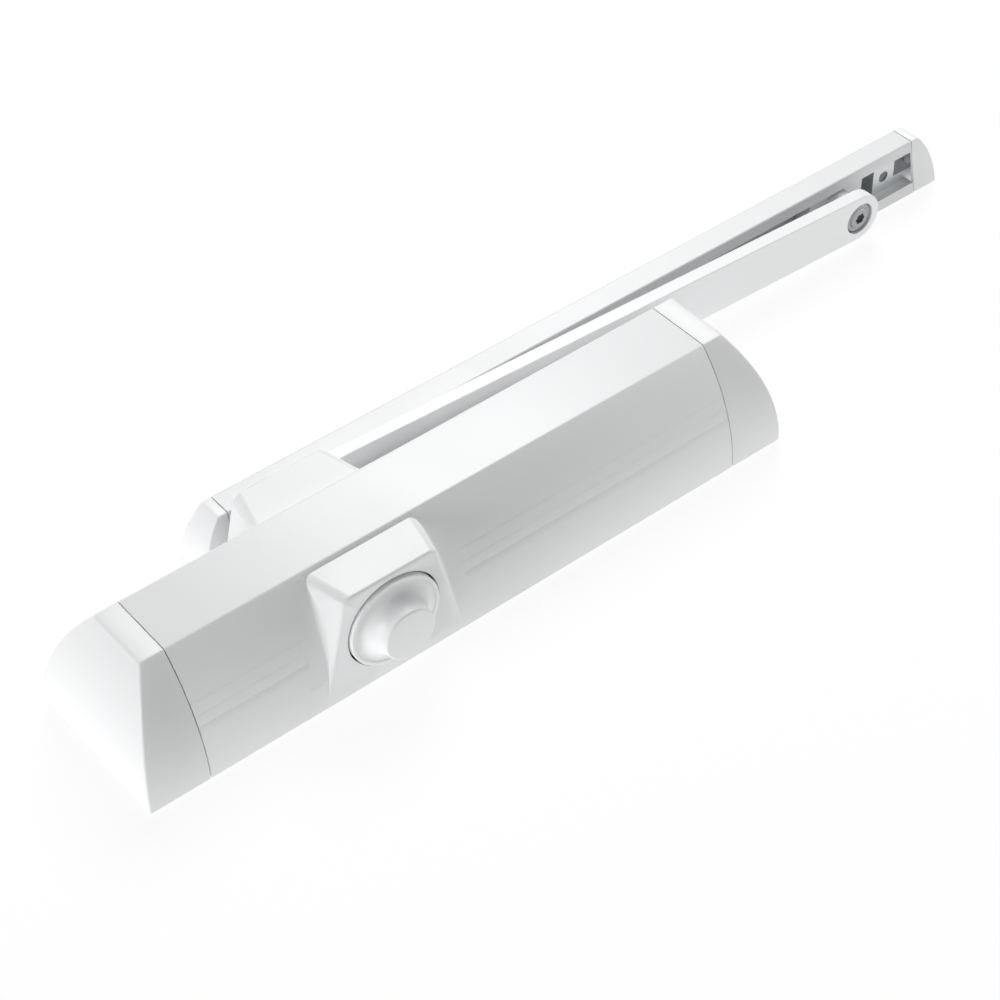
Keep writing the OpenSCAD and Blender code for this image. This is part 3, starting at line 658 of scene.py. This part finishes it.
def make_slide_block():
    """The moulded block in the rail, with rounded ends and the round neck that reaches the arm."""
    half_x, half_y, corner, height = 15, 8.6, 3, 8.2
    low = CHANNEL_Z + 0.15
    signs = ((1, 1), (-1, 1), (-1, -1), (1, -1))
    corners = [(PIVOT + Vector((half_x * x, half_y * y, low)), corner) for x, y in signs]
    block = drawn_out("rail_slider", *corner_steps(corners), (0, 0, height))
    round_over(block, 0.5, 3, lambda p: True)
    combine(block, round_bar("neck", (PIVOT.x, PIVOT.y, 39.8), 6.6, 9), "UNION")
    combine(block, round_bar("shank_hole", (PIVOT.x, PIVOT.y, 38), 3, 15.6, sides=64), "DIFFERENCE")
    smooth(block)
    return block


# ---------------------------------------------------------------- guide rail

def make_rail():
    """The guide rail: a tapered extrusion with a channel and the slot below it."""
    x = RAIL_LEFT
    slope = (RAIL_BACK - RAIL_FRONT) / RAIL_DEPTH
    channel_top = CHANNEL_Z + CHANNEL_HEIGHT
    slot_edge, inner_corner = 0.3, 0.2

    def low(y):
        return RAIL_Z - RAIL_BACK - y * slope

    corners = [
        ((x, SLOT_FRONT, low(SLOT_FRONT)), slot_edge),
        ((x, -RAIL_DEPTH, RAIL_Z - RAIL_FRONT), RAIL_EDGE),
        ((x, -RAIL_DEPTH, RAIL_Z + RAIL_FRONT), RAIL_EDGE),
        ((x, 0, RAIL_Z + RAIL_BACK), 0),
        ((x, 0, RAIL_Z - RAIL_BACK), 0),
        ((x, SLOT_BACK, low(SLOT_BACK)), slot_edge),
        ((x, SLOT_BACK, CHANNEL_Z), inner_corner),
        ((x, CHANNEL_BACK, CHANNEL_Z), inner_corner),
        ((x, CHANNEL_BACK, channel_top), inner_corner),
        ((x, CHANNEL_FRONT, channel_top), inner_corner),
        ((x, CHANNEL_FRONT, CHANNEL_Z), inner_corner),
        ((x, SLOT_FRONT, CHANNEL_Z), inner_corner),
    ]
    rail = drawn_out("rail_extrusion", *corner_steps(corners), (RAIL_RIGHT - RAIL_LEFT, 0, 0))
    ends = (RAIL_LEFT, RAIL_RIGHT)
    round_over(rail, 0.15, 2, lambda p: min(abs(p.x - end) for end in ends) < 0.01)
    smooth(rail, flat_sided=True)
    return rail


def rail_cap_form(name, x, wall, behind):
    """The outside of a rail cap from x on, or the hollow inside its wall."""
    edge = 0 if wall else RAIL_EDGE
    corners = [
        ((x, behind, RAIL_Z - RAIL_BACK + wall), 0),
        ((x, -RAIL_DEPTH + wall, RAIL_Z - RAIL_FRONT + wall), edge),
        ((x, -RAIL_DEPTH + wall, RAIL_Z + RAIL_FRONT - wall), edge),
        ((x, behind, RAIL_Z + RAIL_BACK - wall), 0),
    ]
    form = drawn_out(name, *corner_steps(corners), (20, 0, 0))
    bow_x = RAIL_RIGHT + RAIL_CAP_LENGTH - RAIL_CAP_BOW
    bow = round_bar("bow", (bow_x, 0, 30), RAIL_CAP_BOW - wall, 50, sides=240)
    return combine(form, bow, "INTERSECT")


def make_rail_cap():
    """The right rail cap: a small bowed moulding, open at the back, with a tongue in the channel."""
    x = RAIL_RIGHT + SEAM
    cap = rail_cap_form("right_rail_cap_moulding", x, 0, 0)
    round_over(cap, 0.6, 4, lambda p: p.x > x + 0.4 and p.y < -0.3)
    combine(cap, rail_cap_form("hollow", x - PAST, RAIL_CAP_WALL, PAST / 2), "DIFFERENCE")
    round_over(cap, 0.12, 2, lambda p: abs(p.x - x) < 0.01 and abs(p.y) > 0.2)
    front, back, low = -20.3, -18.3, CHANNEL_Z + 1.5
    in_rail, in_cap, root_x, root_y = RAIL_RIGHT - 3, RAIL_RIGHT + 2, RAIL_RIGHT + 0.3, -22.6
    corners = [
        ((in_rail, front, low), 0),
        ((in_rail, back, low), 0.4),
        ((in_cap, back, low), 0.4),
        ((in_cap, root_y, low), 0),
        ((root_x, root_y, low), 0),
        ((root_x, front, low), 0),
    ]
    join(cap, drawn_out("tongue", *corner_steps(corners), (0, 0, 5.5)))
    smooth(cap)
    return cap


# ---------------------------------------------------------------- springs

def make_spring(name, start, coil):
    """A coil of round wire about the bore's axis, from the place of its first turn along X."""
    radius, wire, rise, turns = coil
    bpy.ops.object.select_all(action="DESELECT")
    bpy.ops.mesh.primitive_circle_add(vertices=WIRE_PARTS, radius=wire * MM, location=(start * MM, radius * MM, 0))
    spring = started(name)
    modifier = spring.modifiers.new("coil", "SCREW")
    modifier.axis = "X"
    modifier.screw_offset = rise * MM
    modifier.iterations = turns
    modifier.steps = COIL_PARTS
    modifier.render_steps = COIL_PARTS
    apply(spring, modifier)
    edit(spring)
    bpy.ops.mesh.fill_holes(sides=0)
    bpy.ops.mesh.select_all(action="SELECT")
    bpy.ops.transform.translate(value=(0, SPINDLE.y * MM, 0))
    leave()
    outwards(spring)
    smooth(spring)
    return spring


# ---------------------------------------------------------------- finishes

def group(name, inputs, outputs):
    """A node group with named values in and out: its tree, its two end nodes, and the piece's coordinates."""
    tree = bpy.data.node_groups.new(name, "ShaderNodeTree")
    for label, default in inputs:
        socket = tree.interface.new_socket(name=label, in_out="INPUT", socket_type="NodeSocketFloat")
        socket.default_value = default
    for label in outputs:
        tree.interface.new_socket(name=label, in_out="OUTPUT", socket_type="NodeSocketFloat")
    spots = tree.nodes.new("ShaderNodeTexCoord").outputs["Object"]
    return tree, tree.nodes.new("NodeGroupInput"), tree.nodes.new("NodeGroupOutput"), spots


def noise(tree, coordinates, scale, detail, rough=0.5):
    """A noise texture's value. Its scale is a number or a socket."""
    node = tree.nodes.new("ShaderNodeTexNoise")
    node.inputs["Detail"].default_value = detail
    node.inputs["Roughness"].default_value = rough
    tree.links.new(coordinates, node.inputs["Vector"])
    if isinstance(scale, (int, float)):
        node.inputs["Scale"].default_value = scale
    else:
        tree.links.new(scale, node.inputs["Scale"])
    return node.outputs["Fac"]


def maths(tree, how, first, second, third=None):
    """A Math node's value, from numbers or sockets."""
    node = tree.nodes.new("ShaderNodeMath")
    node.operation = how
    for socket, value in zip(node.inputs, (first, second, third)):
        if isinstance(value, (int, float)):
            socket.default_value = value
        elif value is not None:
            tree.links.new(value, socket)
    return node.outputs[0]


def skin_group():
    """Sprayed or moulded skin: a fine orange peel and a slow drift in tone."""
    tree, given, result, spots = group("skin", (("Peel scale", 900), ("Drift scale", 14)), ("Height", "Drift"))
    peel = noise(tree, spots, given.outputs["Peel scale"], 2)
    fine = noise(tree, spots, maths(tree, "MULTIPLY", given.outputs["Peel scale"], 3.7), 1)
    tree.links.new(maths(tree, "MULTIPLY_ADD", fine, 0.35, peel), result.inputs["Height"])
    tree.links.new(noise(tree, spots, given.outputs["Drift scale"], 4, 0.6), result.inputs["Drift"])
    return tree


def drawn_group():
    """Drawn or brushed metal: streaks that run along X, and a slow drift in tone."""
    tree, given, result, spots = group("drawn", (("Streak scale", 900), ("Drift scale", 20)), ("Height", "Drift"))
    mapping = tree.nodes.new("ShaderNodeMapping")
    mapping.inputs["Scale"].default_value = (0.03, 1, 1)
    tree.links.new(spots, mapping.inputs["Vector"])
    streak = noise(tree, mapping.outputs[0], given.outputs["Streak scale"], 4, 0.65)
    tree.links.new(streak, result.inputs["Height"])
    drift = noise(tree, spots, given.outputs["Drift scale"], 3)
    half_drift = maths(tree, "MULTIPLY", drift, 0.5)
    tree.links.new(maths(tree, "MULTIPLY_ADD", streak, 0.5, half_drift), result.inputs["Drift"])
    return tree


def cast_group():
    """Sand-cast or sintered skin: grains of two sizes and a slow drift in tone."""
    tree, given, result, spots = group("cast", (("Grain scale", 700), ("Drift scale", 25)), ("Height", "Drift"))
    cells = tree.nodes.new("ShaderNodeTexVoronoi")
    tree.links.new(spots, cells.inputs["Vector"])
    tree.links.new(given.outputs["Grain scale"], cells.inputs["Scale"])
    grain = noise(tree, spots, given.outputs["Grain scale"], 5, 0.7)
    tree.links.new(maths(tree, "MULTIPLY_ADD", cells.outputs["Distance"], 0.6, grain), result.inputs["Height"])
    tree.links.new(noise(tree, spots, given.outputs["Drift scale"], 5, 0.65), result.inputs["Drift"])
    return tree


SKIN = skin_group()
DRAWN = drawn_group()
CAST = cast_group()


def finish(name, effect, values, colours, rough, metal=0, relief=0.02, strength=0.3):
    """A finish: two colours and two roughnesses mixed by an effect's drift, with its height as relief in mm."""
    material = bpy.data.materials.new(name)
    material.use_nodes = True
    tree = material.node_tree
    shader = tree.nodes["Principled BSDF"]
    shader.inputs["Metallic"].default_value = metal
    node = tree.nodes.new("ShaderNodeGroup")
    node.node_tree = effect
    for label, value in values.items():
        node.inputs[label].default_value = value
    # On a colour mix, sockets 6 and 7 are the two colours, and output 2 is the result.
    mix = tree.nodes.new("ShaderNodeMix")
    mix.data_type = "RGBA"
    mix.inputs[6].default_value = (*colours[0], 1)
    mix.inputs[7].default_value = (*colours[1], 1)
    tree.links.new(node.outputs["Drift"], mix.inputs[0])
    tree.links.new(mix.outputs[2], shader.inputs["Base Color"])
    spread = tree.nodes.new("ShaderNodeMapRange")
    spread.inputs["From Min"].default_value = 0.3
    spread.inputs["From Max"].default_value = 0.7
    spread.inputs["To Min"].default_value = rough[0]
    spread.inputs["To Max"].default_value = rough[1]
    tree.links.new(node.outputs["Drift"], spread.inputs["Value"])
    tree.links.new(spread.outputs[0], shader.inputs["Roughness"])
    bump = tree.nodes.new("ShaderNodeBump")
    bump.inputs["Strength"].default_value = strength
    bump.inputs["Distance"].default_value = relief * MM
    tree.links.new(node.outputs["Height"], bump.inputs["Height"])
    tree.links.new(bump.outputs[0], shader.inputs["Normal"])
    return material


powder = {"Peel scale": 1100, "Drift scale": 12}
moulded = {"Peel scale": 2200, "Drift scale": 16}
white = ((0.84, 0.845, 0.85), (0.87, 0.875, 0.88))
bright_metal = ((0.5, 0.51, 0.52), (0.62, 0.63, 0.64))
COVER_PAINT = finish("white powder coat", SKIN, powder, white, (0.36, 0.44))
CAP_PLASTIC = finish(
    "white moulded caps", SKIN, moulded, ((0.84, 0.845, 0.85), (0.865, 0.87, 0.875)), (0.4, 0.48), relief=0.01
)
ARM_PAINT = finish("white arm enamel", SKIN, powder, white, (0.34, 0.42))
RAIL_PAINT = finish("white rail coat", SKIN, powder, ((0.715, 0.72, 0.725), (0.745, 0.75, 0.755)), (0.34, 0.42))
CAST_METAL = finish(
    "cast aluminium", CAST, {"Grain scale": 900}, bright_metal, (0.42, 0.6), metal=0.85, relief=0.06, strength=0.5
)
GROUND_STEEL = finish(
    "ground steel", DRAWN, {"Streak scale": 1500}, bright_metal, (0.22, 0.36), metal=1, relief=0.01
)
HARD_STEEL = finish(
    "hardened steel", DRAWN, {"Streak scale": 1200}, ((0.33, 0.34, 0.35), (0.45, 0.46, 0.47)), (0.26, 0.4), metal=1,
    relief=0.01
)
ZINC = finish(
    "zinc plate", CAST, {"Grain scale": 1600}, ((0.62, 0.64, 0.66), (0.74, 0.75, 0.76)), (0.28, 0.42), metal=1,
    relief=0.015
)
BRASS = finish(
    "turned brass", DRAWN, {"Streak scale": 1500}, ((0.6, 0.43, 0.17), (0.72, 0.54, 0.25)), (0.2, 0.34), metal=1,
    relief=0.01
)
RUBBER = finish(
    "black seal rubber", SKIN, moulded, ((0.012, 0.012, 0.013), (0.025, 0.025, 0.026)), (0.5, 0.65), relief=0.01
)
SLIDER = finish(
    "pale slider plastic", SKIN, moulded, ((0.6, 0.61, 0.62), (0.68, 0.69, 0.7)), (0.38, 0.5), relief=0.01
)
OILED = finish(
    "oiled spring steel", DRAWN, {"Streak scale": 1800}, ((0.12, 0.12, 0.13), (0.2, 0.2, 0.21)), (0.25, 0.4),
    metal=1, relief=0.01
)


def clad(obj, material):
    """Gives a piece one material in all its slots."""
    if not obj.material_slots:
        obj.data.materials.append(material)
    for entry in obj.material_slots:
        entry.material = material


def place(piece, body, nodes, material):
    """Puts a finished piece on its body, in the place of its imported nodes."""
    clad(piece, material)
    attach(piece, body)
    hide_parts(*nodes)


def place_spring(spring, node, left_body, right_body, start, end):
    """Puts a spring between two bodies: up to start it follows the left one, and past end the right one."""
    clad(spring, OILED)
    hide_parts(node)
    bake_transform(spring, left_body, right_body, (start * MM, SPINDLE.y * MM, 0), (end * MM, SPINDLE.y * MM, 0))


# ---------------------------------------------------------------- the pieces

right_cap = make_end_cap()
left_cap = mirrored(right_cap, "left_cap_moulding", (-1, 1, 1))
upper_cowl = make_cowl()
lower_cowl = mirrored(upper_cowl, "lower_cowl_moulding", (1, 1, -1))
right_rail_cap = make_rail_cap()
rail_middle = (RAIL_LEFT + RAIL_RIGHT) / 2
left_rail_cap = mirrored(right_rail_cap, "left_rail_cap_moulding", (-1, 1, 1), (rail_middle, 0, 0))

place(make_cover(), "closer", ["cover"], COVER_PAINT)
place(right_cap, "closer", ["right_end_cap"], CAP_PLASTIC)
place(left_cap, "closer", ["left_end_cap"], CAP_PLASTIC)
place(upper_cowl, "closer", ["upper_cowl"], CAP_PLASTIC)
place(lower_cowl, "closer", ["lower_cowl"], CAP_PLASTIC)
place(make_round_cap(), "closer", ["spindle_cap"], CAP_PLASTIC)
place(make_arm(), "arm", ["arm"], ARM_PAINT)
place(make_pivot_screw(), "block", ["pivot_screw"], HARD_STEEL)
place(make_slide_block(), "block", ["slide_block"], SLIDER)
place(make_rail(), "rail", ["guide_rail"], RAIL_PAINT)
place(right_rail_cap, "rail", ["right_rail_cap"], CAP_PLASTIC)
place(left_rail_cap, "rail", ["left_rail_cap"], CAP_PLASTIC)

# The closing spring is in two pieces, because the piston moves one end and the plate the other. The numbers are
# places along X: where a coil starts, and between which two it stretches.
piston_half = make_spring("closing_spring_piston_half", 6.5, CLOSING_COIL)
plate_half = make_spring("closing_spring_plate_half", 46.5, CLOSING_COIL)
damping_coil = make_spring("damping_spring_coil", -99, DAMPING_COIL)
place_spring(piston_half, "closing_spring", "closing_piston", "closer", 9, 44)
place_spring(plate_half, "closing_spring", "closer", "spring_plate", 49, 84)
place_spring(damping_coil, "damping_spring", "closer", "damping_piston", -98, -86)

NODE_FINISH = {
    CAST_METAL: ("housing", "closing_piston", "damping_piston"),
    GROUND_STEEL: ("spindle", "arm_screw", "closing_roller_pin", "damping_roller_pin",
                   "spindle_bearings", "adjusting_screw"),
    HARD_STEEL: ("cam", "pivot_bush", "closing_roller", "damping_roller", "rail_set_screws"),
    ZINC: ("rail_fixing_blocks", "upper_gland", "lower_gland", "left_end_plug", "right_end_plug", "spring_plate"),
    BRASS: ("closing_valve", "latching_valve", "backcheck_valve"),
    RUBBER: ("spindle_seals", "plug_seals"),
}
for material, nodes in NODE_FINISH.items():
    for node in nodes:
        clad(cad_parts[node], material)


# ---------------------------------------------------------------- stage, light and camera

# Lengths and places from here on are in metres.

def one_sided_floor():
    """A white floor behind the closer's fixing face, as it lies in the photograph, clear from behind."""
    # The floor's own glow, what the camera sees on top of it, what matt surfaces get on top, and its share.
    glow, extra_seen, extra_fill, share = 0.95, 0.08, 0.46, 0.88
    bpy.ops.object.select_all(action="DESELECT")
    bpy.ops.mesh.primitive_plane_add(size=6, location=(0.07, 0.0012, 0.01), rotation=(math.pi / 2, 0, 0))
    floor = started("floor")
    material = bpy.data.materials.new("white floor")
    material.use_nodes = True
    tree = material.node_tree
    tree.nodes.clear()
    new, link = tree.nodes.new, tree.links.new
    matt = new("ShaderNodeBsdfDiffuse")
    matt.inputs["Color"].default_value = (0.9, 0.9, 0.9, 1)
    lit = new("ShaderNodeEmission")
    front = new("ShaderNodeMixShader")
    front.inputs[0].default_value = share
    rays = new("ShaderNodeLightPath")
    shown = maths(tree, "MULTIPLY_ADD", rays.outputs["Is Camera Ray"], extra_seen, glow)
    link(maths(tree, "MULTIPLY_ADD", rays.outputs["Is Diffuse Ray"], extra_fill, shown), lit.inputs["Strength"])
    link(matt.outputs[0], front.inputs[1])
    link(lit.outputs[0], front.inputs[2])
    both = new("ShaderNodeMixShader")
    link(new("ShaderNodeNewGeometry").outputs["Backfacing"], both.inputs[0])
    link(front.outputs[0], both.inputs[1])
    link(new("ShaderNodeBsdfTransparent").outputs[0], both.inputs[2])
    link(both.outputs[0], new("ShaderNodeOutputMaterial").inputs["Surface"])
    clad(floor, material)


def studio_world():
    """Pale grey where the camera, metal or glass looks past the floor, and a plain level of light elsewhere."""
    light, shown = 0.16, 1
    world = bpy.data.worlds.new("studio")
    bpy.context.scene.world = world
    world.use_nodes = True
    tree = world.node_tree
    tree.nodes.clear()
    new, link = tree.nodes.new, tree.links.new
    rays = new("ShaderNodeLightPath")
    seen = maths(tree, "MAXIMUM", rays.outputs["Is Camera Ray"], rays.outputs["Is Transmission Ray"])
    seen = maths(tree, "MAXIMUM", seen, rays.outputs["Is Glossy Ray"])
    level = new("ShaderNodeMapRange")
    level.inputs["To Min"].default_value = light
    level.inputs["To Max"].default_value = shown
    link(seen, level.inputs["Value"])
    background = new("ShaderNodeBackground")
    background.inputs["Color"].default_value = (0.86, 0.865, 0.87, 1)
    link(level.outputs[0], background.inputs["Strength"])
    link(background.outputs[0], new("ShaderNodeOutputWorld").inputs["Surface"])


def lamp(name, direction, distance, size, power):
    """A square soft lamp that faces the middle of the object."""
    middle = Vector((0.08, -0.02, 0.02))
    light = bpy.data.lights.new(name, "AREA")
    light.size = size
    light.energy = power
    obj = bpy.data.objects.new(name, light)
    bpy.context.scene.collection.objects.link(obj)
    away = Vector(direction).normalized()
    obj.location = middle + away * distance
    obj.rotation_euler = away.to_track_quat("Z", "Y").to_euler()


def camera():
    """The camera, solved from points of the photograph."""
    frame_pixels, focal_pixels, sensor = 1000, 2440.27, 36
    data = bpy.data.cameras.new("camera")
    data.sensor_width = sensor
    data.lens = sensor * focal_pixels / frame_pixels
    data.clip_start = 0.01
    obj = bpy.data.objects.new("camera", data)
    bpy.context.scene.collection.objects.link(obj)
    obj.location = (-0.35547, -0.62325, -0.49978)
    obj.rotation_euler = (2.387378, 0.677573, 0.024104)
    bpy.context.scene.camera = obj


one_sided_floor()
studio_world()
lamp("front", (0.42, -0.8, 0.5), 2, 1, 33)
lamp("side", (-1, -0.2, -0.03), 1.7, 0.5, 12.5)
lamp("low", (0.85, -0.3, -0.45), 1, 0.7, 2)
# Behind the floor, this one reaches only what swings past the door's plane.
lamp("back", (0.3, 1, 0.35), 2, 1.5, 40)
camera()
bpy.context.scene.view_settings.view_transform = "Standard"
